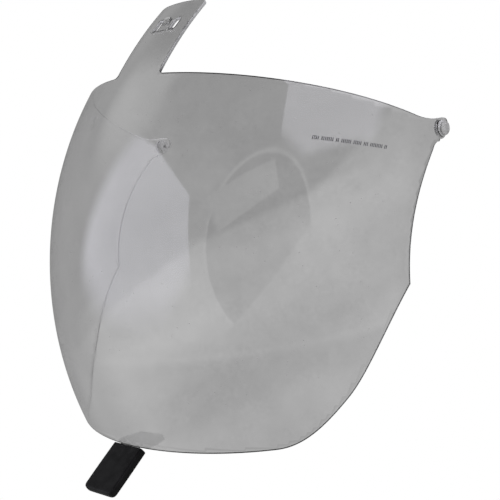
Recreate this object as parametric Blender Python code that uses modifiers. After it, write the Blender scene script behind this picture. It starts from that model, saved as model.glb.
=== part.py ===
"""Wrap-around face shield visor, in Blender.

The lens is one clear moulding: a barrel-shaped sheet with a tongue at the top centre, an ear at the
rear of each wing and a tab at the chin. A black grip is pushed onto the tab. Each ear holds a flanged
bush with a cap, and the visor swings up about the line through the two bushes.

The origin is the middle of that line. +Z is up, the face looks along -Y, and +X is the wearer's left.
"""

from math import asin, cos, pi, radians, sin, sqrt

import bmesh
import bpy
from mathutils import Matrix, Vector

MM = 0.001

# The lens as a surface. A place on it is given by how far round it is from the centre line,
# measured along the sheet, and by its height. Level cuts are arcs, tightest at the top and bottom.
PLAN_RADIUS = 122.0 * MM
PLAN_TIGHTENING = 67.0  # how much the level cuts' curvature grows with the square of height, 1/m^3
PROFILE_RADIUS = 194.0 * MM  # of the centre line, seen from the side
BELLY_Z = -73.3 * MM  # height at which the lens stands furthest forward
WALL = 1.6 * MM

# Edges of the lens, as distances round from the centre line and heights.
TOP_Z = 25.2 * MM
TOP_FALL = (7.65, 0.26)  # mm lost and regained with the square and fourth power of 100 mm round
BROW_ROUND = 170.0 * MM  # from here back, the top edge lifts to meet the ear
BROW_LIFT = 11.5  # 1/m
BOTTOM_EDGE = (  # round, height, slope
    (0.0, -172.8 * MM, 0.0),
    (90.0 * MM, -166.1 * MM, 0.145),
    (135.0 * MM, -138.8 * MM, 0.89),
    (180.0 * MM, -81.8 * MM, 1.21),
)
REAR_BOW = 4.0 * MM
NOTCH_ROUND, NOTCH_Z = 189.5 * MM, -11.9 * MM  # where the rear edge turns into the ear

# Ear: a round lobe whose centre is on the pivot line.
EAR_ROUND = 194.4 * MM
EAR_RADIUS = 6.0 * MM
EAR_FILLET = 4.6 * MM
BOSS_RADIUS = 4.2 * MM
BOSS_OVER = 0.8 * MM  # how far a boss stands over the middle of the sloping wall, on each side
BORE_RADIUS = 2.3 * MM

# Tongue: it goes on from the top edge with a flatter profile.
TONGUE_HALF_WIDTH = 17.9 * MM
TONGUE_LENGTH = 56.3 * MM
TONGUE_RADIUS = 236.0 * MM
TONGUE_BASE_FILLET = 2.5 * MM
TONGUE_TIP_RADIUS = 3.0 * MM
TONGUE_TIP_BOW = 1.5 * MM
SLOT_LENGTH, SLOT_WIDTH, SLOT_ROUND = 8.0 * MM, 4.0 * MM, 1.0 * MM
SLOT_OUT, SLOT_UP = 6.9 * MM, 36.5 * MM  # middle of a slot, from the centre line and the top edge
CATCH_WIDTH, CATCH_LENGTH, CATCH_HEIGHT = 5.0 * MM, 4.4 * MM, 2.0 * MM
CATCH_UP, CATCH_LOW_END = 38.0 * MM, 0.3 * MM
RIB_WIDTH, RIB_DEPTH, RIB_HEIGHT, RIB_UP = 18.4 * MM, 1.0 * MM, 0.5 * MM, 31.6 * MM

# Chin tab and grip. Both lie in one direction, downwards and forwards from the lens's bottom edge.
GRIP_LEAN = radians(43.9)
GRIP_TOP_FRONT = (1.0 * MM, 0.9 * MM)  # ahead of and above the lens's lowest point
GRIP_WIDTH, GRIP_LENGTH, GRIP_DEPTH = 23.8 * MM, 29.4 * MM, 4.6 * MM
GRIP_ROUND = 1.4 * MM
TAB_WIDTH, TAB_LENGTH, TAB_ROUND = 17.0 * MM, 25.0 * MM, 3.0 * MM
TAB_ROOT = 1.6 * MM  # how far the tab runs back into the lens wall
CLEARANCE = 0.3 * MM  # between pieces that touch
GRIP_CLEARANCE = 0.4 * MM

# Pivot bush and cap, about the X axis.
BARREL_RADIUS = BORE_RADIUS - CLEARANCE
FLANGE_RADIUS, FLANGE_THICKNESS, FLANGE_CHAMFER = 3.9 * MM, 1.1 * MM, 0.3 * MM
PIN_SOCKET_RADIUS, PIN_SOCKET_DEPTH = 1.1 * MM, 3.0 * MM
CAP_RADIUS, CAP_THICKNESS, CAP_DOME = 3.7 * MM, 1.0 * MM, 0.7 * MM
STEM_RADIUS, STEM_LENGTH = 1.2 * MM, 0.7 * MM  # the bush's end, inside the cap

# Mesh fineness: faces across and up each stretch of the half lens.
TONGUE_COLUMNS, WING_COLUMNS = 5, 20
LOWER_ROWS, EAR_ROWS = 12, 4
EAR_COLUMNS = 8
FILLET_ROWS, TONGUE_ROWS, TIP_ROWS = 3, 6, 3
ROUND_SIDES = 32
DOME_STEPS = 6


# ---------------------------------------------------------------- scene

def clear_scene():
    for item in list(bpy.data.objects):
        bpy.data.objects.remove(item)


def new_collection(name):
    collection = bpy.data.collections.new(name)
    bpy.context.scene.collection.children.link(collection)
    return collection


def new_material(name, colour, roughness, transmission=0.0):
    material = bpy.data.materials.new(name)
    material.use_nodes = True
    shader = material.node_tree.nodes["Principled BSDF"]
    shader.inputs["Base Color"].default_value = (*colour, 1.0)
    shader.inputs["Roughness"].default_value = roughness
    shader.inputs["Metallic"].default_value = 0.0
    shader.inputs["Transmission Weight"].default_value = transmission
    material.diffuse_color = (*colour, 1.0)
    return material


def add_object(name, bm, collection, material=None):
    """Turns a finished bmesh into an object with outward faces."""
    bmesh.ops.recalc_face_normals(bm, faces=bm.faces)
    mesh = bpy.data.meshes.new(name)
    bm.to_mesh(mesh)
    bm.free()
    mesh.shade_smooth()
    mesh.set_sharp_from_angle(angle=radians(35))
    item = bpy.data.objects.new(name, mesh)
    collection.objects.link(item)
    if material:
        mesh.materials.append(material)
    return item


def add_tool(name, bm, collection):
    """An object that only joins or cuts another."""
    tool = add_object(name, bm, collection)
    tool.hide_render = True
    tool.display_type = "WIRE"
    return tool


def add_boolean(item, tool, operation):
    boolean = item.modifiers.new(tool.name, "BOOLEAN")
    boolean.object = tool
    boolean.operation = operation
    boolean.solver = "EXACT"


# ---------------------------------------------------------------- the lens surface

def level_curvature(z):
    return 1 / PLAN_RADIUS + PLAN_TIGHTENING * (z - BELLY_Z) ** 2


def profile_back(z):
    """How far the centre line has gone back at a height."""
    return PROFILE_RADIUS - sqrt(PROFILE_RADIUS**2 - (z - BELLY_Z) ** 2)


def level_arc(around, z):
    """Sideways and backward travel along the level cut at a height."""
    curvature = level_curvature(z)
    return sin(curvature * around) / curvature, (1 - cos(curvature * around)) / curvature


FRONT_Y = -(profile_back(0.0) + level_arc(EAR_ROUND, 0.0)[1])


def lens_point(around, z):
    side, back = level_arc(around, z)
    return Vector((side, FRONT_Y + profile_back(z) + back, z))


TONGUE_START_ANGLE = asin((TOP_Z - BELLY_Z) / PROFILE_RADIUS)


def tongue_angle(up):
    """Lean of the tongue's centre line from the vertical, a distance up from the top edge."""
    return TONGUE_START_ANGLE + up / TONGUE_RADIUS


def tongue_point(around, up):
    edge = top_edge(around) - TOP_Z
    start = lens_point(around, TOP_Z + edge)
    angle = tongue_angle(up)
    back = TONGUE_RADIUS * (cos(TONGUE_START_ANGLE) - cos(angle))
    rise = TONGUE_RADIUS * (sin(angle) - sin(TONGUE_START_ANGLE))
    return start + Vector((0, back, rise))


# ---------------------------------------------------------------- the lens outline

def top_edge(around):
    reach = around / (100 * MM)
    height = TOP_Z - (TOP_FALL[0] * reach**2 - TOP_FALL[1] * reach**4) * MM
    return height + BROW_LIFT * max(0.0, around - BROW_ROUND) ** 2


def bottom_edge(around):
    """Cubic through the bottom edge's points, with the slope stated at each."""
    for (a, za, sa), (b, zb, sb) in zip(BOTTOM_EDGE, BOTTOM_EDGE[1:]):
        if around <= b:
            break
    span = b - a
    u = (around - a) / span
    ends = (2 * u**3 - 3 * u**2 + 1) * za + (3 * u**2 - 2 * u**3) * zb
    return ends + ((u**3 - 2 * u**2 + u) * sa + (u**3 - u**2) * sb) * span


CORNER_ROUND, CORNER_Z = BOTTOM_EDGE[-1][:2]


def rear_edge(z):
    if z > NOTCH_Z:
        return NOTCH_ROUND
    k = (NOTCH_Z - z) / (NOTCH_Z - CORNER_Z)
    return NOTCH_ROUND + (CORNER_ROUND - NOTCH_ROUND) * k - 4 * REAR_BOW * k * (1 - k)


def ear_top(around):
    if around < EAR_ROUND:
        near = (EAR_ROUND - around) / (EAR_ROUND - NOTCH_ROUND)
        return EAR_RADIUS + (top_edge(NOTCH_ROUND) - EAR_RADIUS) * near**2
    return sqrt(max(0.0, EAR_RADIUS**2 - (around - EAR_ROUND) ** 2))


def ear_bottom(around):
    """Hollow fillet from the rear edge, then the round lobe."""
    middle = NOTCH_ROUND + EAR_FILLET
    reach = Vector((EAR_ROUND - middle, -NOTCH_Z)).normalized() * EAR_FILLET
    if around < middle + reach.x:
        return NOTCH_Z + sqrt(max(0.0, EAR_FILLET**2 - (around - middle) ** 2))
    return -sqrt(max(0.0, EAR_RADIUS**2 - (around - EAR_ROUND) ** 2))


# ---------------------------------------------------------------- the lens sheet

def add_sheet(bm, columns, rows, place):
    """Adds a grid and moves each of its corners to place(column, row)."""
    grid = bmesh.ops.create_grid(bm, x_segments=columns, y_segments=rows, size=1.0)["verts"]
    for vert in grid:
        column = round((vert.co.x + 1) / 2 * columns)
        row = round((vert.co.y + 1) / 2 * rows)
        vert.co = place(column, row)


def column_round(column):
    """Distance round of a column of the main sheet, at the top edge."""
    tongue_base = TONGUE_HALF_WIDTH + TONGUE_BASE_FILLET
    if column <= TONGUE_COLUMNS:
        return tongue_base * column / TONGUE_COLUMNS
    return tongue_base + (NOTCH_ROUND - tongue_base) * (column - TONGUE_COLUMNS) / WING_COLUMNS


def row_share(row):
    """How far up the sheet a row is, from 0 to 1. The rows above the notch meet the ear's."""
    notch = (NOTCH_Z - CORNER_Z) / (top_edge(NOTCH_ROUND) - CORNER_Z)
    if row <= LOWER_ROWS:
        return notch * row / LOWER_ROWS
    return notch + (1 - notch) * (row - LOWER_ROWS) / EAR_ROWS


def place_main(column, row):
    top_round = column_round(column)
    bottom_round = top_round * CORNER_ROUND / NOTCH_ROUND
    share = row_share(row)
    z = bottom_edge(bottom_round) * (1 - share) + top_edge(top_round) * share
    rear_z = CORNER_Z * (1 - share) + top_edge(NOTCH_ROUND) * share
    return lens_point(top_round * rear_edge(rear_z) / NOTCH_ROUND, z)


def place_ear(column, row):
    reach = EAR_ROUND + EAR_RADIUS - NOTCH_ROUND
    last = 1 - 0.25 * MM / reach  # a narrow straight end, where the arc is nearly upright
    around = NOTCH_ROUND + reach * last * (1 - cos(pi * column / EAR_COLUMNS)) / 2
    low, high = ear_bottom(around), ear_top(around)
    return lens_point(around, low + (high - low) * row / EAR_ROWS)


def tongue_row(row):
    """Height of a tongue row above the top edge, and its half width there."""
    if row <= FILLET_ROWS:
        turn = pi / 2 * row / FILLET_ROWS
        out = TONGUE_BASE_FILLET * (1 - sin(turn))
        return TONGUE_BASE_FILLET * (1 - cos(turn)), TONGUE_HALF_WIDTH + out
    straight_end = TONGUE_LENGTH - TONGUE_TIP_RADIUS
    if row <= FILLET_ROWS + TONGUE_ROWS:
        share = (row - FILLET_ROWS) / TONGUE_ROWS
        return TONGUE_BASE_FILLET + (straight_end - TONGUE_BASE_FILLET) * share, TONGUE_HALF_WIDTH
    turn = pi / 2 * (row - FILLET_ROWS - TONGUE_ROWS) / TIP_ROWS
    inset = TONGUE_TIP_RADIUS * (1 - cos(turn))
    return straight_end + TONGUE_TIP_RADIUS * sin(turn), TONGUE_HALF_WIDTH - inset


def place_tongue(column, row):
    up, half_width = tongue_row(row)
    side = column / TONGUE_COLUMNS
    up -= TONGUE_TIP_BOW * side**2 * (up / TONGUE_LENGTH) ** 4
    return tongue_point(half_width * side, up)


def half_lens():
    """The wearer's left half as an open sheet, open at the centre plane."""
    bm = bmesh.new()
    add_sheet(bm, TONGUE_COLUMNS + WING_COLUMNS, LOWER_ROWS + EAR_ROWS, place_main)
    add_sheet(bm, EAR_COLUMNS, EAR_ROWS, place_ear)
    add_sheet(bm, TONGUE_COLUMNS, FILLET_ROWS + TONGUE_ROWS + TIP_ROWS, place_tongue)
    bmesh.ops.remove_doubles(bm, verts=bm.verts, dist=0.01 * MM)
    return bm


# ---------------------------------------------------------------- solids

def box_mesh(size, frame):
    bm = bmesh.new()
    bmesh.ops.create_cube(bm, size=1.0, matrix=frame @ Matrix.Diagonal((*size, 1.0)))
    return bm


def rounded_box_mesh(size, frame, radius, edges="ALL"):
    """A box with rounded edges: all of them, or only those along its own Y."""
    bm = bmesh.new()
    bmesh.ops.create_cube(bm, size=1.0, matrix=Matrix.Diagonal((*size, 1.0)))
    chosen = [
        edge for edge in bm.edges
        if edges == "ALL" or abs((edge.verts[0].co - edge.verts[1].co).normalized().y) > 0.9
    ]
    bmesh.ops.bevel(bm, geom=chosen, offset=radius, segments=4, profile=0.5, affect="EDGES")
    bmesh.ops.transform(bm, matrix=frame, verts=bm.verts)
    return bm


def cylinder_mesh(x_from, x_to, radius):
    """A cylinder about the X axis."""
    bm = bmesh.new()
    place = Matrix.Translation(((x_from + x_to) / 2, 0, 0)) @ Matrix.Rotation(pi / 2, 4, "Y")
    bmesh.ops.create_cone(bm, cap_ends=True, segments=ROUND_SIDES, radius1=radius, radius2=radius,
                          depth=x_to - x_from, matrix=place)
    return bm


def add_turned(name, profile, side, collection, material):
    """Turns points of distance along X and radius about X. Side is -1 for the wearer's right."""
    bm = bmesh.new()
    verts = [bm.verts.new((side * x, 0, radius)) for x, radius in profile]
    for pair in zip(verts, verts[1:]):
        bm.edges.new(pair)
    item = add_object(name, bm, collection, material)
    screw = item.modifiers.new("turn", "SCREW")
    screw.axis = "X"
    screw.steps = ROUND_SIDES
    screw.render_steps = ROUND_SIDES
    screw.use_merge_vertices = True
    screw.merge_threshold = 0.01 * MM
    screw.use_normal_flip = side > 0
    return item


# ---------------------------------------------------------------- places on the lens

def tongue_frame(around, up):
    """Axes on the tongue's outer face: X across, Y out of the face, Z up along it."""
    angle = tongue_angle(up)
    turn = around * level_curvature(TOP_Z)
    across = Vector((cos(turn), sin(turn), 0))
    along = Vector((0, sin(angle), cos(angle)))
    out = along.cross(across).normalized()
    rotation = Matrix((across, out, across.cross(out))).transposed().to_4x4()
    return Matrix.Translation(tongue_point(around, up)) @ rotation


def grip_frame():
    """Origin on the middle plane of the tab where it leaves the grip. Z points back up the tab."""
    lowest = lens_point(0.0, bottom_edge(0.0))
    ahead, above = GRIP_TOP_FRONT
    down = Vector((0, -sin(GRIP_LEAN), -cos(GRIP_LEAN)))
    inward = Vector((0, cos(GRIP_LEAN), -sin(GRIP_LEAN)))
    top = lowest + Vector((0, -ahead, above)) + down * GRIP_CLEARANCE + inward * GRIP_DEPTH / 2
    rotation = Matrix((Vector((1, 0, 0)), inward, -down)).transposed().to_4x4()
    return Matrix.Translation(top) @ rotation


EAR_X = lens_point(EAR_ROUND, 0.0).x  # outer face of the wall at the pivot line
BOSS_OUTER_X = EAR_X + BOSS_OVER
BOSS_INNER_X = EAR_X - WALL - BOSS_OVER


# ---------------------------------------------------------------- pieces

def add_mirror(item, name, bisect=False):
    mirror = item.modifiers.new(name, "MIRROR")
    mirror.use_axis = (True, False, False)
    mirror.use_bisect_axis = (bisect, False, False)
    mirror.merge_threshold = 0.01 * MM
    mirror.bisect_threshold = 0.001 * MM


def make_lens(parts, tools, material):
    lens = add_object("visor_lens", half_lens(), parts, material)
    add_mirror(lens, "both_wings")
    wall = lens.modifiers.new("wall", "SOLIDIFY")
    wall.thickness = WALL
    wall.offset = -1.0

    root = Matrix.Translation((0, 0, (TAB_ROOT - TAB_LENGTH) / 2))
    tab_size = (TAB_WIDTH, WALL, TAB_LENGTH + TAB_ROOT)
    tab = rounded_box_mesh(tab_size, grip_frame() @ root, TAB_ROUND, "Y")
    rib = box_mesh((RIB_WIDTH, 2 * RIB_HEIGHT, RIB_DEPTH), tongue_frame(0.0, RIB_UP))
    boss = cylinder_mesh(BOSS_INNER_X, BOSS_OUTER_X, BOSS_RADIUS)
    for name, mesh in (("chin_tab", tab), ("catch", catch_mesh()), ("rib", rib), ("boss", boss)):
        add_boolean(lens, add_tool(name, mesh, tools), "UNION")
    bore = cylinder_mesh(BOSS_INNER_X - WALL, BOSS_OUTER_X + WALL, BORE_RADIUS)
    slot_size = (SLOT_WIDTH, 4 * WALL, SLOT_LENGTH)
    slot = rounded_box_mesh(slot_size, tongue_frame(SLOT_OUT, SLOT_UP), SLOT_ROUND, "Y")
    for name, mesh in (("slot", slot), ("bore", bore)):
        add_boolean(lens, add_tool(name, mesh, tools), "DIFFERENCE")
    add_mirror(lens, "right_like_left", bisect=True)
    return lens


def catch_mesh():
    """A wedge between the slots, low at its lower end and full height at its upper end."""
    bm = bmesh.new()
    height = CATCH_HEIGHT + WALL / 2
    size = (CATCH_WIDTH, height, CATCH_LENGTH)
    bmesh.ops.create_cube(bm, size=1.0, matrix=Matrix.Diagonal((*size, 1.0)))
    for vert in bm.verts:
        if vert.co.y > 0 and vert.co.z < 0:
            vert.co.y -= CATCH_HEIGHT - CATCH_LOW_END
    lift = Matrix.Translation((0, height / 2 - WALL / 2, 0))
    bmesh.ops.transform(bm, matrix=tongue_frame(0.0, CATCH_UP) @ lift, verts=bm.verts)
    return bm


def make_grip(parts, tools, material):
    place = grip_frame()
    middle = Matrix.Translation((0, 0, -GRIP_LENGTH / 2))
    size = (GRIP_WIDTH, GRIP_DEPTH, GRIP_LENGTH)
    grip = add_object("chin_grip", rounded_box_mesh(size, place @ middle, GRIP_ROUND), parts, material)
    depth = TAB_LENGTH + CLEARANCE
    pocket_size = (TAB_WIDTH + 2 * CLEARANCE, WALL + 2 * CLEARANCE, 2 * depth)
    pocket = box_mesh(pocket_size, place)
    add_boolean(grip, add_tool("grip_pocket", pocket, tools), "DIFFERENCE")
    return grip


def bush_profile():
    """Flange inside the ear, barrel through it, and a thin stem at the outer end for the cap."""
    flange_in = BOSS_INNER_X - CLEARANCE - FLANGE_THICKNESS
    flange_out = BOSS_INNER_X - CLEARANCE
    shoulder = BOSS_OUTER_X
    return [
        (flange_in + PIN_SOCKET_DEPTH, 0.0),
        (flange_in + PIN_SOCKET_DEPTH, PIN_SOCKET_RADIUS),
        (flange_in, PIN_SOCKET_RADIUS),
        (flange_in, FLANGE_RADIUS - FLANGE_CHAMFER),
        (flange_in + FLANGE_CHAMFER, FLANGE_RADIUS),
        (flange_out, FLANGE_RADIUS),
        (flange_out, BARREL_RADIUS),
        (shoulder, BARREL_RADIUS),
        (shoulder, STEM_RADIUS),
        (shoulder + CLEARANCE + STEM_LENGTH, STEM_RADIUS),
        (shoulder + CLEARANCE + STEM_LENGTH, 0.0),
    ]


def cap_profile():
    """Domed disc with a socket in its inner face, which takes the bush's stem."""
    inner = BOSS_OUTER_X + CLEARANCE
    rim = inner + CAP_THICKNESS
    socket = (inner + STEM_LENGTH + CLEARANCE, STEM_RADIUS + CLEARANCE)
    dome_radius = (CAP_RADIUS**2 + CAP_DOME**2) / (2 * CAP_DOME)
    dome = []
    for step in range(DOME_STEPS + 1):
        radius = CAP_RADIUS * (1 - step / DOME_STEPS)
        dome.append((rim + sqrt(dome_radius**2 - radius**2) - (dome_radius - CAP_DOME), radius))
    return [(socket[0], 0.0), socket, (inner, socket[1]), (inner, CAP_RADIUS), *dome]


def make_pivot(parts, material, side, name):
    add_turned("pivot_bush_" + name, bush_profile(), side, parts, material)
    add_turned("pivot_cap_" + name, cap_profile(), side, parts, material)


def build():
    clear_scene()
    parts = new_collection("face_shield_visor")
    tools = new_collection("cutters")
    clear = new_material("clear_polycarbonate", (0.72, 0.72, 0.74), 0.06, transmission=0.9)
    black = new_material("black_vinyl", (0.018, 0.018, 0.019), 0.42)
    natural = new_material("natural_nylon", (0.55, 0.55, 0.56), 0.3)
    make_lens(parts, tools, clear)
    make_grip(parts, tools, black)
    make_pivot(parts, natural, 1, "left")
    make_pivot(parts, natural, -1, "right")


build()
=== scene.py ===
"""Looks of a clear wrap-around face shield visor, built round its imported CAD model.

The lens, the chin grip and the pivots are rebuilt as fine meshes in the CAD model's own frame:
the origin is the middle of the pivot line, +Z is up and the face looks along -Y. Lengths are in metres.
"""

from math import acos, asin, cos, pi, radians, sin, sqrt

import bmesh
import bpy
import numpy as np
from mathutils import Matrix, Vector
from mathutils.geometry import delaunay_2d_cdt
from mathutils.kdtree import KDTree


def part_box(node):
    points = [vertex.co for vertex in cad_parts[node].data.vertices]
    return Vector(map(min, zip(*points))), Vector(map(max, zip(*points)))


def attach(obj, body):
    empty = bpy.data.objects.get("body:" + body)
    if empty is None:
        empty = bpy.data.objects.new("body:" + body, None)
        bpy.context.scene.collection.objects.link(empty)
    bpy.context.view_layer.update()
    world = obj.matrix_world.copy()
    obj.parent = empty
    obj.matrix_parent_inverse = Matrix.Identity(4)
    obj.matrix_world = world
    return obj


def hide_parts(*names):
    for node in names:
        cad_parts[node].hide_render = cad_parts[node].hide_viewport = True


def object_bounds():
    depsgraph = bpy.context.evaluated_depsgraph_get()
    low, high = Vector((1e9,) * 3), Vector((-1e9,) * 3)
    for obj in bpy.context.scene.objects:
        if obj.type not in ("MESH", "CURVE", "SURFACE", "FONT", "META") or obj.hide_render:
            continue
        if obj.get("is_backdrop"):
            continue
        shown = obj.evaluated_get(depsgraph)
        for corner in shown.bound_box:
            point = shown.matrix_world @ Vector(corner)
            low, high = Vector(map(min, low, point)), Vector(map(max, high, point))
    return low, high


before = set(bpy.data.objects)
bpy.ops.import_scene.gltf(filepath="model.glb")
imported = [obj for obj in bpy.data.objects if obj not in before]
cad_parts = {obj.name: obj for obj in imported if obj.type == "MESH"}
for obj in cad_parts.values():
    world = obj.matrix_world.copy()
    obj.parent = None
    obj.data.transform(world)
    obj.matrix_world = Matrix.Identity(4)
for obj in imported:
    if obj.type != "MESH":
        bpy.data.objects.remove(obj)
CAD_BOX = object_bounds()
MM = 0.001

# The lens surface and outline, as the CAD model has them. ROUND is a distance round the outer
# face from the middle, OUT one across the tongue, and UP one along it from the top edge.
PLAN_RADIUS = 122.0 * MM
PLAN_TIGHTENING = 67.0  # 1/m^3, how fast the plan curve tightens above and below the belly
PROFILE_RADIUS = 194.0 * MM
BELLY_Z = -73.3 * MM
WALL = 1.6 * MM
TOP_Z = 25.2 * MM
TOP_FALL = (7.65 * MM, 0.26 * MM)  # at a round of TOP_FALL_SPAN: squared part, fourth-power part
TOP_FALL_SPAN = 100.0 * MM
BROW_ROUND, BROW_LIFT = 170.0 * MM, 11.5  # the lift is in 1/m
BOTTOM_EDGE = (  # round, height, slope
    (0.0, -172.8 * MM, 0.0),
    (90.0 * MM, -166.1 * MM, 0.145),
    (135.0 * MM, -138.8 * MM, 0.89),
    (180.0 * MM, -81.8 * MM, 1.21),
)
CORNER_ROUND, CORNER_Z = BOTTOM_EDGE[-1][:2]
REAR_BOW = 4.0 * MM
NOTCH_ROUND, NOTCH_Z = 189.5 * MM, -11.9 * MM
EAR_ROUND, EAR_RADIUS, EAR_FILLET = 194.4 * MM, 6.0 * MM, 4.6 * MM
BOSS_RADIUS, BOSS_FILLET, BORE_RADIUS = 4.2 * MM, 0.12 * MM, 2.3 * MM
TONGUE_HALF_WIDTH, TONGUE_LENGTH, TONGUE_RADIUS = 17.9 * MM, 56.3 * MM, 236.0 * MM
TONGUE_BASE_FILLET, TONGUE_TIP_RADIUS, TONGUE_TIP_BOW = 2.5 * MM, 3.0 * MM, 1.5 * MM
SLOT_LENGTH, SLOT_WIDTH, SLOT_CORNER = 8.0 * MM, 4.0 * MM, 1.0 * MM
SLOT_OUT, SLOT_UP = 6.9 * MM, 36.5 * MM
CATCH_WIDTH, CATCH_LENGTH, CATCH_HEIGHT, CATCH_UP = 5.0 * MM, 4.4 * MM, 2.0 * MM, 38.0 * MM
CATCH_SLOPE = 0.85  # the share of its height that the wedge loses at its lower end
RIB_WIDTH, RIB_DEPTH, RIB_HEIGHT, RIB_UP = 18.4 * MM, 1.0 * MM, 0.5 * MM, 31.6 * MM
GRIP_LEAN = radians(43.9)
GRIP_TOP_FRONT = (1.0 * MM, 0.9 * MM)  # ahead of the lens's lowest point and above it
GRIP_WIDTH, GRIP_LENGTH, GRIP_DEPTH = 23.8 * MM, 29.4 * MM, 4.6 * MM
GRIP_EDGE, GRIP_CORNER, GRIP_LIP, GRIP_CROWN = 1.4 * MM, 3.0 * MM, 0.4 * MM, 0.12 * MM
GRIP_CLEARANCE = 0.4 * MM
TAB_WIDTH, TAB_LENGTH, TAB_CORNER, TAB_ROOT = 17.0 * MM, 25.0 * MM, 3.0 * MM, 1.6 * MM
FLANGE_THICKNESS, FLANGE_CHAMFER, DOME_HEIGHT = 1.1 * MM, 0.3 * MM, 0.7 * MM
STEM_RADIUS, SOCKET_RADIUS, SOCKET_DEPTH = 1.2 * MM, 1.1 * MM, 3.0 * MM
CLEARANCE = 0.3 * MM

# Fineness of the new meshes, and the small rounding of their corners.
EDGE_RADIUS = 0.25 * MM  # along the lens's cut edges
EDGE_STEPS = 3
EDGE_SPACING = 1.6 * MM
SHEET_SPACING, ROW_SHARE = 2.6 * MM, 0.87
TURN_STEPS = 64
SMALL_RADIUS = 0.2 * MM


# ---------------------------------------------------------------- the lens surface

def level_curvature(z):
    return 1 / PLAN_RADIUS + PLAN_TIGHTENING * (z - BELLY_Z) ** 2


def profile_back(z):
    return PROFILE_RADIUS - sqrt(PROFILE_RADIUS**2 - (z - BELLY_Z) ** 2)


def level_arc(around, z):
    curvature = level_curvature(z)
    return sin(curvature * around) / curvature, (1 - cos(curvature * around)) / curvature


FRONT_Y = -(profile_back(0.0) + level_arc(EAR_ROUND, 0.0)[1])
TONGUE_START_ANGLE = asin((TOP_Z - BELLY_Z) / PROFILE_RADIUS)


def top_edge(around):
    around = abs(around)
    reach = around / TOP_FALL_SPAN
    height = TOP_Z - (TOP_FALL[0] * reach**2 - TOP_FALL[1] * reach**4)
    return height + BROW_LIFT * max(0.0, around - BROW_ROUND) ** 2


def surface(around, height):
    """A point on the outer face. Above the top edge, height goes on up along the tongue."""
    edge = top_edge(around)
    z = min(height, edge) if abs(around) < 2 * TONGUE_HALF_WIDTH else height
    side, back = level_arc(around, z)
    point = Vector((side, FRONT_Y + profile_back(z) + back, z))
    up = height - z
    if up > 0:
        angle = TONGUE_START_ANGLE + up / TONGUE_RADIUS
        point.y += TONGUE_RADIUS * (cos(TONGUE_START_ANGLE) - cos(angle))
        point.z += TONGUE_RADIUS * (sin(angle) - sin(TONGUE_START_ANGLE))
    return point


def normal(around, height):
    step = 0.05 * MM
    across = surface(around + step, height) - surface(around - step, height)
    along = surface(around, height + step) - surface(around, height - step)
    return along.cross(across).normalized()


def layer(around, height, depth):
    """A point in the wall, a depth in from the outer face."""
    return surface(around, height) + normal(around, height) * depth


def around_at(y, z):
    """How far round the outer face is at this y and height, on the wearer's left."""
    curvature = level_curvature(z)
    return acos(1 - curvature * (y - FRONT_Y - profile_back(z))) / curvature


# ---------------------------------------------------------------- the lens outline

def bottom_edge(around):
    for (a, za, sa), (b, zb, sb) in zip(BOTTOM_EDGE, BOTTOM_EDGE[1:]):
        if around <= b:
            break
    span = b - a
    u = (around - a) / span
    ends = (2 * u**3 - 3 * u**2 + 1) * za + (3 * u**2 - 2 * u**3) * zb
    return ends + ((u**3 - 2 * u**2 + u) * sa + (u**3 - u**2) * sb) * span


def arc_points(centre, radius, start, end, steps):
    turn = [start + (end - start) * step / steps for step in range(steps + 1)]
    return [(centre[0] + radius * cos(a), centre[1] + radius * sin(a)) for a in turn]


def tongue_tip():
    """From the middle of the tongue's end, round its corner, to the start of its straight side."""
    inner = TONGUE_HALF_WIDTH - TONGUE_TIP_RADIUS
    flat = [(inner * step / 10, TONGUE_LENGTH) for step in range(10)]
    corner = arc_points((inner, TONGUE_LENGTH - TONGUE_TIP_RADIUS), TONGUE_TIP_RADIUS, pi / 2, 0, 8)
    bowed = []
    for side, up in flat + corner:
        bow = TONGUE_TIP_BOW * (side / TONGUE_HALF_WIDTH) ** 2 * (up / TONGUE_LENGTH) ** 4
        bowed.append((side, top_edge(side) + up - bow))
    return bowed


def ear_outline():
    """From the top edge, over the lobe, and through the hollow fillet to the rear edge."""
    points = []
    for step in range(8):
        around = NOTCH_ROUND + (EAR_ROUND - NOTCH_ROUND) * step / 8
        near = (EAR_ROUND - around) / (EAR_ROUND - NOTCH_ROUND)
        points.append((around, EAR_RADIUS + (top_edge(NOTCH_ROUND) - EAR_RADIUS) * near**2))
    middle = (NOTCH_ROUND + EAR_FILLET, NOTCH_Z)
    reach = Vector((EAR_ROUND - middle[0], -NOTCH_Z))
    down = reach.normalized()
    fillet_end = Vector(middle) + down * EAR_FILLET
    lobe_end = -acos((fillet_end.x - EAR_ROUND) / EAR_RADIUS)
    points += arc_points((EAR_ROUND, 0.0), EAR_RADIUS, pi / 2, lobe_end, 28)
    points += arc_points(middle, EAR_FILLET, acos(down.x), pi, 10)
    return points


def rear_outline():
    points = []
    for step in range(1, 45):
        k = step / 45
        around = NOTCH_ROUND + (CORNER_ROUND - NOTCH_ROUND) * k - 4 * REAR_BOW * k * (1 - k)
        points.append((around, NOTCH_Z + (CORNER_Z - NOTCH_Z) * k))
    return points


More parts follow.
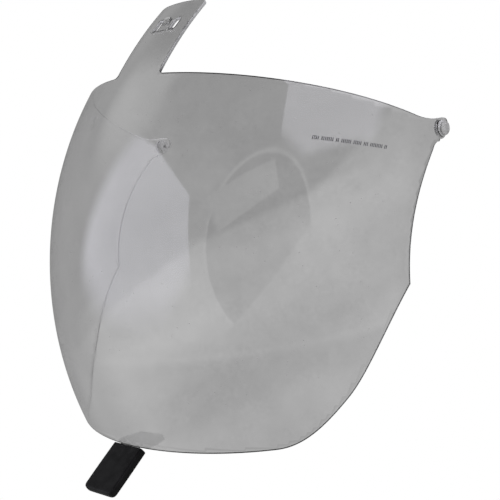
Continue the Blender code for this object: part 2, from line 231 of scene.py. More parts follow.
def half_outline():
    """The wearer's left half, from the tongue's end round to the middle of the bottom edge."""
    base = TONGUE_HALF_WIDTH + TONGUE_BASE_FILLET
    points = tongue_tip()
    for step in range(1, 30):
        up = (TONGUE_LENGTH - TONGUE_TIP_RADIUS) * (1 - step / 30) + TONGUE_BASE_FILLET * step / 30
        points.append((TONGUE_HALF_WIDTH, top_edge(TONGUE_HALF_WIDTH) + up))
    for around, up in arc_points((base, TONGUE_BASE_FILLET), TONGUE_BASE_FILLET, pi, 1.5 * pi, 8):
        points.append((around, top_edge(around) + up))
    steps = round((NOTCH_ROUND - base) / EDGE_SPACING)
    for step in range(1, steps):
        around = base + (NOTCH_ROUND - base) * step / steps
        points.append((around, top_edge(around)))
    points += ear_outline() + rear_outline()
    steps = round(CORNER_ROUND / EDGE_SPACING)
    for step in range(steps, -1, -1):
        around = CORNER_ROUND * step / steps
        points.append((around, bottom_edge(around)))
    return points


def lens_outline():
    left = half_outline()
    right = [(-around, height) for around, height in reversed(left[1:-1])]
    return left + right


def slot_outline(side):
    across, along = SLOT_WIDTH / 2 - SLOT_CORNER, SLOT_LENGTH / 2 - SLOT_CORNER
    height = top_edge(SLOT_OUT) + SLOT_UP
    corners = ((across, along), (-across, along), (-across, -along), (across, -along))
    points = []
    for quarter, corner in enumerate(corners):
        points += arc_points(corner, SLOT_CORNER, quarter * pi / 2, (quarter + 1) * pi / 2, 6)
    return [(side * SLOT_OUT + x, height + z) for x, z in points]


def ear_circle(radius, side):
    """A circle about the pivot line, where it meets the outer face."""
    points = []
    for step in range(TURN_STEPS):
        angle = 2 * pi * step / TURN_STEPS
        y, z = radius * cos(angle), radius * sin(angle)
        points.append((side * around_at(y, z), z))
    return points


# ---------------------------------------------------------------- the lens mesh

def inset_loop(points, distance):
    """Moves a closed outline into the material, which lies on the left-hand side of its travel."""
    count = len(points)
    moved = []
    for i, (x, z) in enumerate(points):
        before, after = points[i - 1], points[(i + 1) % count]
        along = Vector((after[0] - before[0], after[1] - before[1])).normalized()
        moved.append((x - along.y * distance, z + along.x * distance))
    return moved


def turned_left(points, clockwise):
    """The outline with its travel set clockwise or not."""
    area = sum(a[0] * b[1] - b[0] * a[1] for a, b in zip(points, points[1:] + points[:1]))
    return points if (area < 0) == clockwise else points[::-1]


def edge_sections():
    """Inset and depth of each ring round a cut edge, from the outer face to the inner."""
    sections = []
    for step in range(EDGE_STEPS + 1):
        turn = pi / 2 * step / EDGE_STEPS
        sections.append((EDGE_RADIUS * (1 - sin(turn)), EDGE_RADIUS * (1 - cos(turn))))
    return sections + [(inset, WALL - depth) for inset, depth in reversed(sections)]


def inside(points, loop):
    """Which of many points lie in a closed loop."""
    crossed = np.zeros(len(points), bool)
    x, z = points[:, 0], points[:, 1]
    for (x1, z1), (x2, z2) in zip(loop, loop[1:] + loop[:1]):
        if z1 == z2:
            continue
        spans = (z1 > z) != (z2 > z)
        crossed ^= spans & (x < (x2 - x1) * (z - z1) / (z2 - z1) + x1)
    return crossed


def sheet_points(loops):
    """A staggered grid over the sheet, clear of the loops."""
    tree = KDTree(sum(len(loop) for loop in loops))
    for i, (x, z) in enumerate(point for loop in loops for point in loop):
        tree.insert((x, z, 0), i)
    tree.balance()
    outline = np.array(loops[0])
    low, high = outline.min(0), outline.max(0)
    row_spacing = SHEET_SPACING * ROW_SHARE
    rows = int((high[1] - low[1]) / row_spacing)
    columns = int(high[0] / SHEET_SPACING) + 1
    grid = []
    for row in range(rows):
        z = low[1] + (row + 0.5) * row_spacing
        for column in range(-columns, columns + 1):
            grid.append(((column + 0.5 * (row % 2)) * SHEET_SPACING, z))
    grid = np.array(grid)
    keep = inside(grid, loops[0])
    for loop in loops[1:]:
        keep &= ~inside(grid, loop)
    clear = 0.45 * SHEET_SPACING
    return [(x, z) for x, z in grid[keep] if tree.find((x, z, 0))[2] > clear]


def sheet_triangles(points, loops):
    """Joins the points into triangles that fill the sheet and leave its holes open."""
    edges, first = [], 0
    for loop in loops:
        edges += [(first + i, first + (i + 1) % len(loop)) for i in range(len(loop))]
        first += len(loop)
    scaled = [Vector(point) / MM for point in points]
    found = delaunay_2d_cdt(scaled, edges, [], 0, 1e-5)
    faces = np.array(found[2])
    middles = np.array([[v.x, v.y] for v in found[0]])[faces].mean(1) * MM
    keep = inside(middles, loops[0])
    for loop in loops[1:]:
        keep &= ~inside(middles, loop)
    origin = [ids[0] for ids in found[3]]
    return [[origin[i] for i in face] for face in faces[keep]]


def add_strip(bm, rings, finish=0):
    """Quads between each ring of vertices and the next, in one of the piece's materials."""
    for ring, following in zip(rings, rings[1:]):
        for i in range(len(ring)):
            j = (i + 1) % len(ring)
            bm.faces.new((ring[i], ring[j], following[j], following[i])).material_index = finish


def boss_rings(side):
    """Points of the rings that make a boss and its bore, between the two face loops.

    Each section has a radius and either a place along X or a lift off the outer face.
    """
    outer_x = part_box("pivot_cap_left")[0].x - CLEARANCE
    inner_x = surface(EAR_ROUND, 0.0).x * 2 - WALL - outer_x
    soft, lip, foot = 0.3 * MM, SMALL_RADIUS, BOSS_FILLET / 4
    sections = [
        (BOSS_RADIUS + foot, None, foot),
        (BOSS_RADIUS, None, BOSS_FILLET),
        (BOSS_RADIUS, outer_x - soft, 0),
        (BOSS_RADIUS - 0.3 * soft, outer_x - 0.3 * soft, 0),
        (BOSS_RADIUS - soft, outer_x, 0),
        (BORE_RADIUS + lip, outer_x, 0),
        (BORE_RADIUS, outer_x - lip, 0),
        (BORE_RADIUS, inner_x + lip, 0),
        (BORE_RADIUS + lip, inner_x, 0),
        (BOSS_RADIUS - soft, inner_x, 0),
        (BOSS_RADIUS - 0.3 * soft, inner_x + 0.3 * soft, 0),
        (BOSS_RADIUS, inner_x + soft, 0),
        (BOSS_RADIUS, None, -WALL - BOSS_FILLET),
        (BOSS_RADIUS + foot, None, -WALL - foot),
    ]
    rings = []
    for radius, x, lift in sections:
        ring = []
        for around, z in ear_circle(radius, 1):
            point = surface(around, z)
            point.x = point.x + lift if x is None else x
            point.x *= side
            ring.append(point)
        rings.append(ring)
    return rings


def lens_mesh():
    """The sheet's two faces, its rounded edges, the slots, and the bosses with their bores."""
    cut_edges = [turned_left(lens_outline(), clockwise=False)]
    cut_edges += [turned_left(slot_outline(side), clockwise=True) for side in (1, -1)]
    face_loops = [inset_loop(loop, EDGE_RADIUS) for loop in cut_edges]
    face_loops += [ear_circle(BOSS_RADIUS + BOSS_FILLET, side) for side in (1, -1)]
    flat = [point for loop in face_loops for point in loop] + sheet_points(face_loops)

    bm = bmesh.new()
    outer = [bm.verts.new(layer(*point, 0.0)) for point in flat]
    inner = [bm.verts.new(layer(*point, WALL)) for point in flat]
    for a, b, c in sheet_triangles(flat, face_loops):
        bm.faces.new((outer[a], outer[b], outer[c]))
        bm.faces.new((inner[c], inner[b], inner[a]))

    first = 0
    for number, loop in enumerate(face_loops):
        ends = [verts[first:first + len(loop)] for verts in (outer, inner)]
        if number < len(cut_edges):
            between = [
                [layer(*point, depth) for point in inset_loop(cut_edges[number], inset)]
                for inset, depth in edge_sections()[1:-1]
            ]
        else:
            between = boss_rings((1, -1)[number - len(cut_edges)])
        rings = [[bm.verts.new(point) for point in ring] for ring in between]
        add_strip(bm, [ends[0], *rings, ends[1]], finish=1)
        first += len(loop)
    return bm


# ---------------------------------------------------------------- mesh helpers

def add_piece(name, bm, material, sharp=40):
    bmesh.ops.recalc_face_normals(bm, faces=bm.faces)
    mesh = bpy.data.meshes.new(name)
    bm.to_mesh(mesh)
    bm.free()
    mesh.shade_smooth()
    mesh.set_sharp_from_angle(angle=radians(sharp))
    piece = bpy.data.objects.new(name, mesh)
    bpy.context.scene.collection.objects.link(piece)
    if material:
        mesh.materials.append(material)
    return piece


def rounded_box(size, place, radius, segments=5, edges="ALL"):
    """A box with rounded edges: all of them, or only those along its own Y."""
    bm = bmesh.new()
    bmesh.ops.create_cube(bm, size=1.0, matrix=Matrix.Diagonal((*size, 1.0)))
    chosen = [
        edge for edge in bm.edges
        if edges == "ALL" or abs((edge.verts[0].co - edge.verts[1].co).normalized().y) > 0.9
    ]
    bmesh.ops.bevel(bm, geom=chosen, offset=radius, segments=segments, profile=0.5, affect="EDGES")
    bmesh.ops.transform(bm, matrix=place, verts=bm.verts)
    return bm


def join_or_cut(piece, bm, operation, sharp=40):
    """Joins a mesh to a piece, or cuts it out, and keeps only the result."""
    tool = add_piece(piece.name + "_tool", bm, None)
    boolean = piece.modifiers.new("boolean", "BOOLEAN")
    boolean.object = tool
    boolean.operation = operation
    boolean.solver = "EXACT"
    bpy.context.view_layer.update()
    made = bpy.data.meshes.new_from_object(
        piece.evaluated_get(bpy.context.evaluated_depsgraph_get()))
    piece.modifiers.clear()
    piece.data = made
    made.shade_smooth()
    made.set_sharp_from_angle(angle=radians(sharp))
    bpy.data.objects.remove(tool)


# ---------------------------------------------------------------- places

def tongue_place(around, up):
    """Axes on the tongue's outer face: X across, Y out of the face, Z up along it."""
    height = top_edge(around) + up
    angle = TONGUE_START_ANGLE + up / TONGUE_RADIUS
    out = -normal(around, height)
    along = Vector((0, sin(angle), cos(angle)))
    across = out.cross(along).normalized()
    rotation = Matrix((across, out, across.cross(out))).transposed().to_4x4()
    return Matrix.Translation(surface(around, height)) @ rotation


def grip_place():
    """Origin on the middle plane of the tab where it leaves the grip. Z points back up the tab."""
    ahead, above = GRIP_TOP_FRONT
    down = Vector((0, -sin(GRIP_LEAN), -cos(GRIP_LEAN)))
    inward = Vector((0, cos(GRIP_LEAN), -sin(GRIP_LEAN)))
    lowest = surface(0.0, bottom_edge(0.0))
    top = lowest + Vector((0, -ahead, above)) + down * GRIP_CLEARANCE + inward * GRIP_DEPTH / 2
    rotation = Matrix((Vector((1, 0, 0)), inward, -down)).transposed().to_4x4()
    return Matrix.Translation(top) @ rotation


# ---------------------------------------------------------------- pieces

def catch_mesh():
    bm = bmesh.new()
    height = CATCH_HEIGHT + WALL / 2
    size = (CATCH_WIDTH, height, CATCH_LENGTH)
    bmesh.ops.create_cube(bm, size=1.0, matrix=Matrix.Diagonal((*size, 1.0)))
    for vert in bm.verts:
        if vert.co.y > 0 and vert.co.z < 0:
            vert.co.y -= CATCH_HEIGHT * CATCH_SLOPE
    lowest = min(vert.co.y for vert in bm.verts)
    top = [edge for edge in bm.edges if all(vert.co.y > lowest + 0.001 * MM for vert in edge.verts)]
    bmesh.ops.bevel(bm, geom=top, offset=0.3 * MM, segments=3, profile=0.5, affect="EDGES")
    lift = Matrix.Translation((0, (CATCH_HEIGHT - WALL / 2) / 2, 0))
    bmesh.ops.transform(bm, matrix=tongue_place(0.0, CATCH_UP) @ lift, verts=bm.verts)
    return bm


def make_lens(material, cut_edges):
    """The sheet with its tab, catch and rib. Its second material is that of the cut edges."""
    lens = add_piece("clear_lens", lens_mesh(), material)
    lens.data.materials.append(cut_edges)
    root = Matrix.Translation((0, 0, (TAB_ROOT - TAB_LENGTH) / 2))
    tab_size = (TAB_WIDTH, WALL, TAB_LENGTH + TAB_ROOT)
    tab = rounded_box(tab_size, grip_place() @ root, TAB_CORNER, 6, "Y")
    rib_size = (RIB_WIDTH, 2 * RIB_HEIGHT, RIB_DEPTH)
    rib = rounded_box(rib_size, tongue_place(0.0, RIB_UP), SMALL_RADIUS, 2)
    for tool in (tab, catch_mesh(), rib):
        join_or_cut(lens, tool, "UNION")
    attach(lens, "visor")
    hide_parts("visor_lens")


def rolled_in(reach, radius):
    """How far a quarter-round end draws in at a distance from the tip."""
    return radius - sqrt(max(0.0, radius**2 - max(0.0, radius - reach) ** 2))


def sleeve_mesh(place):
    """A soft sleeve of rounded section, slightly crowned, with a rolled closed end and a thin top lip."""
    steps, lip_steps = 12, 4
    straight = GRIP_LENGTH - GRIP_CORNER - GRIP_LIP
    ends = [GRIP_CORNER * (1 - cos(pi / 2 * step / steps)) for step in range(1, steps + 1)]
    body = [GRIP_CORNER + straight * step / steps for step in range(1, steps)]
    top = [GRIP_LENGTH - GRIP_LIP * (1 - sin(pi / 2 * step / lip_steps)) for step in range(lip_steps + 1)]
    bm = bmesh.new()
    rings = []
    for up in [0.002 * MM] + ends + body + top:
        lip = rolled_in(GRIP_LENGTH - up, GRIP_LIP)
        crown = GRIP_CROWN * sin(pi * up / GRIP_LENGTH)
        half_width = GRIP_WIDTH / 2 - rolled_in(up, GRIP_CORNER) - lip
        half_depth = GRIP_DEPTH / 2 - rolled_in(up, GRIP_EDGE) - lip + crown
        radius = min(GRIP_EDGE, 0.98 * half_depth)
        corner = (half_width - radius, half_depth - radius)
        ring = []
        for quarter, (x, y) in enumerate(((1, 1), (-1, 1), (-1, -1), (1, -1))):
            start = quarter * pi / 2
            middle = (x * corner[0], y * corner[1])
            for px, py in arc_points(middle, radius, start, start + pi / 2, 8):
                ring.append(bm.verts.new(place @ Vector((px, py, up - GRIP_LENGTH))))
        rings.append(ring)
    add_strip(bm, rings)
    bm.faces.new(rings[0])
    bm.faces.new(rings[-1][::-1])
    return bm


def make_grip(material):
    """The sleeve, hollowed for the tab that it is pushed onto."""
    place = grip_place()
    grip = add_piece("vinyl_grip", sleeve_mesh(place), material)
    pocket = (TAB_WIDTH + 2 * CLEARANCE, WALL + 2 * CLEARANCE, 2 * (TAB_LENGTH + CLEARANCE))
    join_or_cut(grip, rounded_box(pocket, place, SMALL_RADIUS, 2), "DIFFERENCE")
    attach(grip, "visor")
    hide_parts("chin_grip")


def turned(profile, side):
    """A closed turned solid about X from points of distance along X and radius."""
    bm = bmesh.new()
    rings = []
    for x, radius in profile[1:-1]:
        ring = []
        for step in range(TURN_STEPS):
            angle = 2 * pi * step / TURN_STEPS
            ring.append(bm.verts.new((side * x, radius * cos(angle), radius * sin(angle))))
        rings.append(ring)
    add_strip(bm, rings)
    for (x, _), ring in ((profile[0], rings[0]), (profile[-1], rings[-1])):
        tip = bm.verts.new((side * x, 0, 0))
        for i in range(TURN_STEPS):
            bm.faces.new((tip, ring[i], ring[(i + 1) % TURN_STEPS]))
    return bm


def softened(profile, radius=0.15 * MM, steps=3):
    """The profile with its corners rounded, apart from its two ends."""
    points = [profile[0]]
    for before, corner, after in zip(profile, profile[1:], profile[2:]):
        here = Vector(corner)
        back, ahead = Vector(before) - here, Vector(after) - here
        cut = min(radius, back.length * 0.4, ahead.length * 0.4)
        start, end = here + back.normalized() * cut, here + ahead.normalized() * cut
        for step in range(steps + 1):
            t = step / steps
            points.append(tuple(start * (1 - t) ** 2 + here * (2 * t * (1 - t)) + end * t**2))
    return points + [profile[-1]]


def make_pivot(side, name, material):
    """The bush and cap of one ear, from the CAD pieces' own boxes."""
    bush_low, bush_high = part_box("pivot_bush_left")
    cap_low, cap_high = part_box("pivot_cap_left")
    flange_radius, cap_radius = bush_high.y, cap_high.y
    flange_in, stem_end = bush_low.x, bush_high.x
    flange_out = flange_in + FLANGE_THICKNESS
    socket_end = flange_in + SOCKET_DEPTH
    shoulder = cap_low.x - CLEARANCE
    barrel = BORE_RADIUS - CLEARANCE
    bush = softened([
        (socket_end, 0.0), (socket_end, SOCKET_RADIUS), (flange_in, SOCKET_RADIUS),
        (flange_in, flange_radius - FLANGE_CHAMFER), (flange_in + FLANGE_CHAMFER, flange_radius),
        (flange_out, flange_radius), (flange_out, barrel), (shoulder, barrel),
        (shoulder, STEM_RADIUS), (stem_end, STEM_RADIUS), (stem_end, 0.0),
    ])
    dome_radius = (cap_radius**2 + DOME_HEIGHT**2) / (2 * DOME_HEIGHT)
    dome_steps = 12
    dome = []
    for step in range(dome_steps + 1):
        radius = cap_radius * (1 - step / dome_steps)
        dome.append((cap_high.x - dome_radius + sqrt(dome_radius**2 - radius**2), radius))
    hollow = (stem_end + CLEARANCE, STEM_RADIUS + CLEARANCE)
    cap = softened([(hollow[0], 0.0), hollow, (cap_low.x, hollow[1]), (cap_low.x, cap_radius)] + dome)
    for kind, profile in (("bush", bush), ("cap", cap)):
        piece = add_piece(f"{kind}_{name}", turned(profile, side), material, sharp=35)
        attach(piece, "pivots")
        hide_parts(f"pivot_{kind}_{name}")


# ---------------------------------------------------------------- printed marks

MARKS_START, MARKS_TURN = 113.4 * MM, -0.078
MARKS_TOP_Z, MARKS_HEIGHT = -8.9 * MM, 1.9 * MM
TICK_WIDTH, TICK_PITCH, GROUP_GAP = 0.50 * MM, 0.95 * MM, 1.0 * MM
TICK_GROUPS = (4, 7, 2, 6, 5, 3, 8, 2)
INK_LIFT, INK_THICKNESS = 0.015 * MM, 0.03 * MM


def make_marks(material):
    """Groups of plain printed ticks on the outside of the wearer's left wing."""
    bm = bmesh.new()
    around = MARKS_START
    for count in TICK_GROUPS:
        for _ in range(count):
            top = MARKS_TOP_Z + MARKS_TURN * (around - MARKS_START)
            low, end = top - MARKS_HEIGHT, around + TICK_WIDTH
            corners = [(around, top), (end, top), (end, low), (around, low)]
            layers = []
            for depth in (-INK_LIFT - INK_THICKNESS, -INK_LIFT):
                layers.append([bm.verts.new(layer(*corner, depth)) for corner in corners])
            add_strip(bm, layers)
            bm.faces.new(layers[0])
            bm.faces.new(layers[1][::-1])
            around += TICK_PITCH
        around += GROUP_GAP
    marks = add_piece("printed_marks", bm, material)
    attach(marks, "visor")


# ---------------------------------------------------------------- node helpers

def node_maker(tree):
    """Short calls that add a node with its values set, and a maths node, and give its output."""
    def add(kind, inputs=(), **settings):
        node = tree.nodes.new("ShaderNode" + kind)
        for name, value in settings.items():
            setattr(node, name, value)
        for name, value in dict(inputs).items():
            if isinstance(value, bpy.types.NodeSocket):
                tree.links.new(value, node.inputs[name])
            else:
                node.inputs[name].default_value = value
        return node.outputs[0]

    def maths(operation, *values):
        return add("Math", dict(enumerate(values)), operation=operation)

    return add, maths


def mapped(add, value, low, high, to_low, to_high, **settings):
    ranges = {"Value": value, "From Min": low, "From Max": high, "To Min": to_low, "To Max": to_high}
    return add("MapRange", ranges, **settings)


def new_material(name, colour, roughness):
    """A material whose Principled shader has these plain values, with its tree and node calls."""
    material = bpy.data.materials.new(name)
    material.use_nodes = True
    shader = material.node_tree.nodes["Principled BSDF"]
    shader.inputs["Base Color"].default_value = (*colour, 1.0)
    shader.inputs["Roughness"].default_value = roughness
    return material, shader, *node_maker(material.node_tree)


def link(material, socket, target):
    material.node_tree.links.new(socket, target)


def own_place(material):
    """Where a point is in the piece's own coordinates, which are those of the CAD frame."""
    return material.node_tree.nodes.new("ShaderNodeTexCoord").outputs["Object"]


def noise(add, place, scale, detail=2.0, **more):
    return add("TexNoise", {"Vector": place, "Scale": scale, "Detail": detail, **more})


def varied(add, texture, low, high):
    """The values that a noise mostly takes, spread from low to high."""
    return mapped(add, texture, 0.3, 0.7, low, high)


def tinted(add, maths, shade, **shares):
    """A colour near grey: the shade in each channel, or a share of it in the named ones."""
    channels = {"Red": shade, "Green": shade, "Blue": shade}
    for channel, share in shares.items():
        channels[channel] = maths("MULTIPLY", shade, share)
    return add("CombineColor", channels)


# ---------------------------------------------------------------- materials

def lens_material():
    """Clear polycarbonate with faint waves, wiping marks, fine scratches and specks of dust."""
    material, shader, add, maths = new_material("clear_polycarbonate", (0.985, 0.985, 0.985), 0.04)
    shader.inputs["Transmission Weight"].default_value = 1.0
    shader.inputs["IOR"].default_value = 1.585
    place = own_place(material)

    cell = add("TexVoronoi", {"Vector": place, "Scale": 260.0})
    speck = mapped(add, cell, 0.05, 0.10, 1.0, 0.0)
    chosen = mapped(add, noise(add, place, 70.0, 0.0), 0.53, 0.57, 0.0, 1.0)
    dust = maths("MULTIPLY", speck, chosen)
    cloudy = noise(add, place, 42.0, 4.0)
    clear = varied(add, cloudy, 0.975, 0.999)
    shade = maths("MULTIPLY", clear, maths("MULTIPLY_ADD", dust, -0.30, 1.0))
    link(material, tinted(add, maths, shade, Green=0.997), shader.inputs["Base Color"])

    along = add("Mapping", {"Vector": place, "Rotation": (0.5, 0.2, 0.3), "Scale": (0.12, 1.0, 2.4)})
    line = noise(add, along, 900.0, 1.0)
    scratch = mapped(add, line, 0.70, 0.76, 0.0, 1.0)
    wiped = mapped(add, noise(add, along, 60.0, 2.0), 0.35, 0.75, 0.015, 0.06)
    rough = maths("MULTIPLY_ADD", dust, 0.4, maths("MULTIPLY_ADD", scratch, 0.05, wiped))
    link(material, rough, shader.inputs["Roughness"])

    wave = noise(add, place, 24.0, 1.0)
    bumps = maths("MULTIPLY_ADD", scratch, -0.05, wave)
    lift = add("Bump", {"Height": bumps, "Strength": 1.0, "Distance": 0.03 * MM})
    link(material, lift, shader.inputs["Normal"])
    return material


def edge_material():
    """The lens's cut edges: a satin skin, with painted shade that makes them dark across the front and
    painted light that makes them paler at the ears and the tongue.
    """
    material, shader, add, maths = new_material("satin_edge_painted_shade", (0.5, 0.5, 0.5), 0.4)
    place = own_place(material)
    cloudy = noise(add, place, 350.0, 3.0)
    where = add("SeparateXYZ", {"Vector": place}).node.outputs
    # Painted shade and painted light: the edge colour runs from dark across the front to pale at the
    # ears, and the tongue term adds painted light along the tongue.
    painted_shade_round_the_face = mapped(add, where["Y"], -95 * MM, -10 * MM, 0.05, 0.72)
    tongue = mapped(add, where["Z"], TOP_Z + 0.5 * MM, TOP_Z + 4 * MM, 0.0, 0.40)
    shade = maths("MULTIPLY", maths("ADD", painted_shade_round_the_face, tongue), varied(add, cloudy, 0.85, 1.1))
    link(material, tinted(add, maths, shade), shader.inputs["Base Color"])
    link(material, varied(add, cloudy, 0.3, 0.5), shader.inputs["Roughness"])
    return material


def grip_material():
    """Soft black vinyl with a fine moulded grain and rubbed patches."""
    material, shader, add, maths = new_material("black_vinyl", (0.012, 0.012, 0.0125), 0.5)
    shader.inputs["Specular IOR Level"].default_value = 0.10
    place = own_place(material)
    rubbed = noise(add, place, 160.0, 3.0)
    shade = varied(add, rubbed, 0.004, 0.007)
    link(material, tinted(add, maths, shade, Blue=1.06), shader.inputs["Base Color"])
    grain = add("TexVoronoi", {"Vector": place, "Scale": 1700.0})
    fine = noise(add, place, 5200.0, 2.0)
    link(material, varied(add, rubbed, 0.56, 0.40), shader.inputs["Roughness"])
    height = maths("MULTIPLY_ADD", fine, 0.35, grain)
    lift = add("Bump", {"Height": height, "Strength": 0.55, "Distance": 0.05 * MM})
    link(material, lift, shader.inputs["Normal"])
    return material


def pivot_material():
    """Natural nylon: clear enough to take the grey of what is behind it, with a satin skin."""
    material, shader, add, maths = new_material("natural_nylon", (0.6, 0.6, 0.6), 0.2)
    shader.inputs["Transmission Weight"].default_value = 0.3
    shader.inputs["IOR"].default_value = 1.53
    place = own_place(material)
    milky = noise(add, place, 700.0, 3.0)
    shade = varied(add, milky, 0.56, 0.72)
    link(material, tinted(add, maths, shade, Blue=0.99), shader.inputs["Base Color"])
    link(material, varied(add, milky, 0.12, 0.26), shader.inputs["Roughness"])
    skin = noise(add, place, 3000.0, 2.0)
    lift = add("Bump", {"Height": skin, "Strength": 0.4, "Distance": 0.02 * MM})
    link(material, lift, shader.inputs["Normal"])
    return material


def ink_material():
    """Dark grey printing ink, thinner in places."""
    material, shader, add, maths = new_material("dark_ink", (0.05, 0.05, 0.055), 0.6)
    shader.inputs["Specular IOR Level"].default_value = 0.2
    place = own_place(material)
    worn = noise(add, place, 1500.0, 3.0)
    shade = mapped(add, worn, 0.3, 0.75, 0.04, 0.16)
    link(material, tinted(add, maths, shade, Blue=1.08), shader.inputs["Base Color"])
    link(material, varied(add, worn, 0.5, 0.75), shader.inputs["Roughness"])
    return material


# ---------------------------------------------------------------- studio

# Directions are in degrees: round from the front towards the wearer's left, and up.
# Each round area: its name, its middle, its radius, its soft edge, and its light.
ROOM_LIGHT = 0.36
ROOM_AREAS = (
    ("glow on the wall", -58, 38, 13, 10, 1.25),
    ("dim corner", -95, 60, 20, 6, 0.12),
    ("dark ceiling", 17, 60, 34, 5, 0.11),
    ("lighter end of the ceiling", 50, 50, 10, 7, 0.34),
    ("light on the screen", 14, 12, 17, 8, 0.7),
    ("pale table", 90, -73.3, 92.5, 1.8, 1.15),
    ("near end of the table", 40, -72, 38, 16, 0.30),
    ("far end of the table", -98, -25, 32, 14, 0.40),
    ("side of the table", 112, -12, 26, 12, 0.75),
    ("behind", 180, 0, 50, 12, 0.22),
    ("far side of the room", -125, 0, 38, 10, 0.27),
)
OPENING_AREAS = (
    ("rim of the round opening", 45.0, 4.4, 28.0, 1.0, 1.30),
    ("round opening", 45.0, 4.4, 26.8, 0.6, 0.12),
)
# Each straight-sided area: its name, its light and colour, and its corners, clockwise on a map with
# the first angle across and the second up. A corner's third number softens the side after it.
WINDOWS = (
    ("window on the right", 2.7, (0.96, 0.955, 1.06), (
        (-41, 32, 1.0), (-25, 32, 0.5), (6, 19, 0.5), (10, -3, 5), (0, -15, 9),
        (-44, -17, 8), (-62, -3, 5),
    )),
    ("window on the left", 2.3, (0.965, 0.95, 1.035), (
        (50, 75, 4), (120, 75, 2), (122, 36, 4), (106, 23, 2), (66, 28, 3), (52, 37, 0.5),
    )),
)
PROPS = (
    ("pale sleeve in the opening", 1.0, (1, 1, 1), (
        (14, 18, 0.6), (50, 29, 0.6), (54, 20, 0.6), (24, 8, 2),
    )),
    ("pale card below it", 0.75, (1, 1, 1), (
        (27.7, -22.2, 0.8), (71, 9, 3), (95, -12, 3), (60, -40, 3),
    )),
)
# Behind the visor: a wall, and a sheet hung over it, which ends in three straight sides.
# A side is given by the direction that it faces.
BACKDROP_LIGHT, SHEET_LIGHT = 0.325, 0.39
SHEET_SIDES = ((137.3, -53.2), (136.6, -65.3), (133.9, -43.2))
SHEET_SOFT = 0.25
BACKDROP_AREAS = (
    ("low fold", 92.4, -81.0, 90, 0.3, 0.385),
    ("dark ceiling", 0, 90, 50, 8, 0.05),
)
# Each crease is the edge of a circle, inside which the cloth's light changes by a share:
# the middle, the radius, the softness and the share.
CREASES = (
    (-126.0, 39.4, 46.9, 0.12, 0.05),
    (-126.0, 39.4, 46.6, 0.12, -0.05),
    (-126.0, 39.4, 48.4, 1.2, -0.05),
    (-126.0, 39.4, 47.1, 0.2, 0.05),
    (-137.2, -10.7, 10.8, 0.9, 0.04),
)
# Stains are the same, smaller and softer.
STAINS = (
    (-133.8, -1.4, 2.2, 1.9, -0.07),
    (-137.5, -10.4, 4.5, 3.8, -0.07),
)
FOLD_ACROSS = (-0.374, -0.401, 0.836)  # the way the folds follow each other
FLOOR_GAP = 80.0 * MM


def direction(azimuth, elevation):
    """The unit vector towards a place in the room."""
    turn, up = radians(azimuth), radians(elevation)
    return Vector((cos(up) * sin(turn), -cos(up) * cos(turn), sin(up)))


def dot(add, a, b):
    return add("VectorMath", {0: a, 1: b}, operation="DOT_PRODUCT").node.outputs["Value"]


def near(add, towards, middle, radius, soft):
    """1 within a radius of a direction and 0 outside it, with a soft edge, both in degrees."""
    facing = dot(add, towards, middle)
    ends = cos(radians(radius + soft)), cos(radians(radius - soft))
    return mapped(add, facing, *ends, 0.0, 1.0, interpolation_type="SMOOTHSTEP")


def with_areas(add, maths, towards, light, areas):
    """Round areas of even light laid over a plain one, by direction."""
    for _, azimuth, elevation, radius, soft, radiance in areas:
        within = near(add, towards, direction(azimuth, elevation), radius, soft)
        light = maths("MULTIPLY_ADD", within, maths("SUBTRACT", radiance, light), light)
    return light


def laid_over(add, light, within, colour):
    return add("MixRGB", {"Fac": within, "Color1": light, "Color2": (*colour, 1.0)})


def with_windows(add, maths, towards, light, windows):
    """Straight-sided soft lights laid over the room."""
    for _, radiance, tint, corners in windows:
        within = 1.0
        for (az1, el1, soft), (az2, el2, _) in zip(corners, corners[1:] + corners[:1]):
            side = direction(az2, el2).cross(direction(az1, el1)).normalized()
            within = maths("MULTIPLY", within, near(add, towards, side, 90, soft))
        light = laid_over(add, light, within, [radiance * part for part in tint])
    return light


def cloth_light(add, maths, towards):
    """Slight light and shade of a hung sheet: soft folds that rise to one side, and its texture."""
    across = dot(add, towards, FOLD_ACROSS)
    stretched = add("Mapping", {"Vector": towards, "Scale": (1.5, 1.5, 1.5)})
    shift = add("CombineXYZ", {"X": maths("MULTIPLY", across, 11.0)})
    folded = add("VectorMath", {0: stretched, 1: shift}, operation="ADD")
    folds = varied(add, noise(add, folded, 1.6, 2.0, Distortion=0.4), -0.08, 0.08)
    blotches = varied(add, noise(add, towards, 60.0, 3.0), -0.035, 0.035)
    texture = varied(add, noise(add, towards, 260.0, 4.0), -0.045, 0.045)
    light = maths("ADD", maths("ADD", folds, texture), maths("ADD", blotches, 1.0))
    for azimuth, elevation, radius, soft, share in CREASES + STAINS:
        within = near(add, towards, direction(azimuth, elevation), radius, soft)
        light = maths("MULTIPLY", light, maths("MULTIPLY_ADD", within, share, 1.0))
    return light


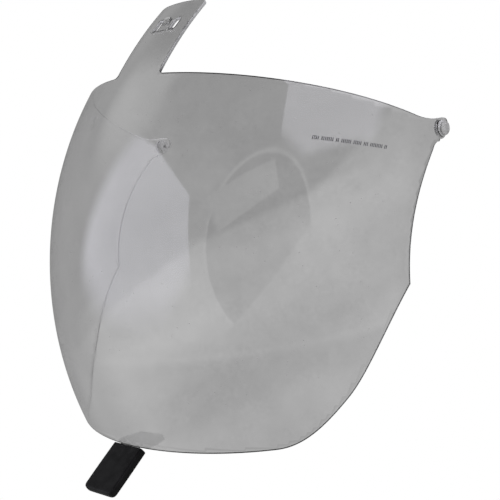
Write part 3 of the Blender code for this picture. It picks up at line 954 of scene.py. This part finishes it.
def make_world():
    """White to the camera, a grey sheet through the lens, and a pale room in reflections."""
    world = bpy.data.worlds.new("studio")
    bpy.context.scene.world = world
    world.use_nodes = True
    tree = world.node_tree
    add, maths = node_maker(tree)
    towards = tree.nodes.new("ShaderNodeTexCoord").outputs["Generated"]
    rays = tree.nodes.new("ShaderNodeLightPath").outputs
    sides = [near(add, towards, direction(*side), 90, SHEET_SOFT) for side in SHEET_SIDES]
    sheet = maths("MINIMUM", sides[0], maths("MAXIMUM", sides[1], sides[2]))
    backdrop = maths("MULTIPLY_ADD", sheet, SHEET_LIGHT - BACKDROP_LIGHT, BACKDROP_LIGHT)
    backdrop = with_areas(add, maths, towards, backdrop, BACKDROP_AREAS)
    backdrop = maths("MULTIPLY", backdrop, cloth_light(add, maths, towards))
    room = with_areas(add, maths, towards, ROOM_LIGHT, ROOM_AREAS)
    room = with_windows(add, maths, towards, room, WINDOWS)
    for _, azimuth, elevation, radius, soft, light in OPENING_AREAS:
        within = near(add, towards, direction(azimuth, elevation), radius, soft)
        room = laid_over(add, room, within, (light, light, light))
    room = with_windows(add, maths, towards, room, PROPS)

    mirrored = add("Background", {"Color": room})
    through = add("Background", {"Color": backdrop})
    white = add("Background", {"Color": (1, 1, 1, 1)})
    seen = add("MixShader", {0: rays["Is Transmission Ray"], 1: mirrored, 2: through})
    seen = add("MixShader", {0: rays["Is Camera Ray"], 1: seen, 2: white})
    tree.links.new(seen, tree.nodes["World Output"].inputs["Surface"])


def make_floor():
    """A white floor, well under the visor. Only the camera sees it."""
    material, shader, *_ = new_material("pale_floor", (0.0, 0.0, 0.0), 1.0)
    shader.inputs["Specular IOR Level"].default_value = 0.0
    shader.inputs["Emission Color"].default_value = (1.0, 1.0, 1.0, 1.0)
    shader.inputs["Emission Strength"].default_value = 1.0
    bm = bmesh.new()
    bmesh.ops.create_grid(bm, x_segments=1, y_segments=1, size=6.0)
    floor = add_piece("floor", bm, material)
    floor.location.z = CAD_BOX[0].z - FLOOR_GAP
    floor.visible_transmission = False
    floor.visible_glossy = False
    floor.visible_diffuse = False
    floor.visible_shadow = False
    floor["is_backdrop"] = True


# The camera, by where it looks from: degrees round from the front and above level, and its roll.
CAMERA_AZIMUTH, CAMERA_ELEVATION, CAMERA_ROLL = 45.358, 1.092, 1.1275
CAMERA_DISTANCE = 546.0 * MM
CAMERA_AIM = Vector((58.54, -84.59, -66.34)) * MM
CAMERA_LENS = 76.4


def make_camera():
    camera = bpy.data.objects.new("camera", bpy.data.cameras.new("camera"))
    bpy.context.scene.collection.objects.link(camera)
    turn = (
        Matrix.Rotation(radians(CAMERA_AZIMUTH), 4, "Z")
        @ Matrix.Rotation(radians(90 - CAMERA_ELEVATION), 4, "X")
        @ Matrix.Rotation(radians(CAMERA_ROLL), 4, "Z")
    )
    away = Matrix.Translation((0, 0, CAMERA_DISTANCE))
    camera.matrix_world = Matrix.Translation(CAMERA_AIM) @ turn @ away
    camera.data.lens = CAMERA_LENS
    camera.data.sensor_width = 36.0
    camera.data.clip_start, camera.data.clip_end = 0.01, 50.0
    bpy.context.scene.camera = camera


make_lens(lens_material(), edge_material())
make_grip(grip_material())
nylon = pivot_material()
make_pivot(1, "left", nylon)
make_pivot(-1, "right", nylon)
make_marks(ink_material())
make_floor()
make_world()
make_camera()
bpy.context.scene.view_settings.view_transform = "Standard"
bpy.context.scene.cycles.max_bounces = 32
bpy.context.scene.cycles.glossy_bounces = 24
bpy.context.scene.cycles.transmission_bounces = 24

[[list(corner) for corner in box] for box in (CAD_BOX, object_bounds())]
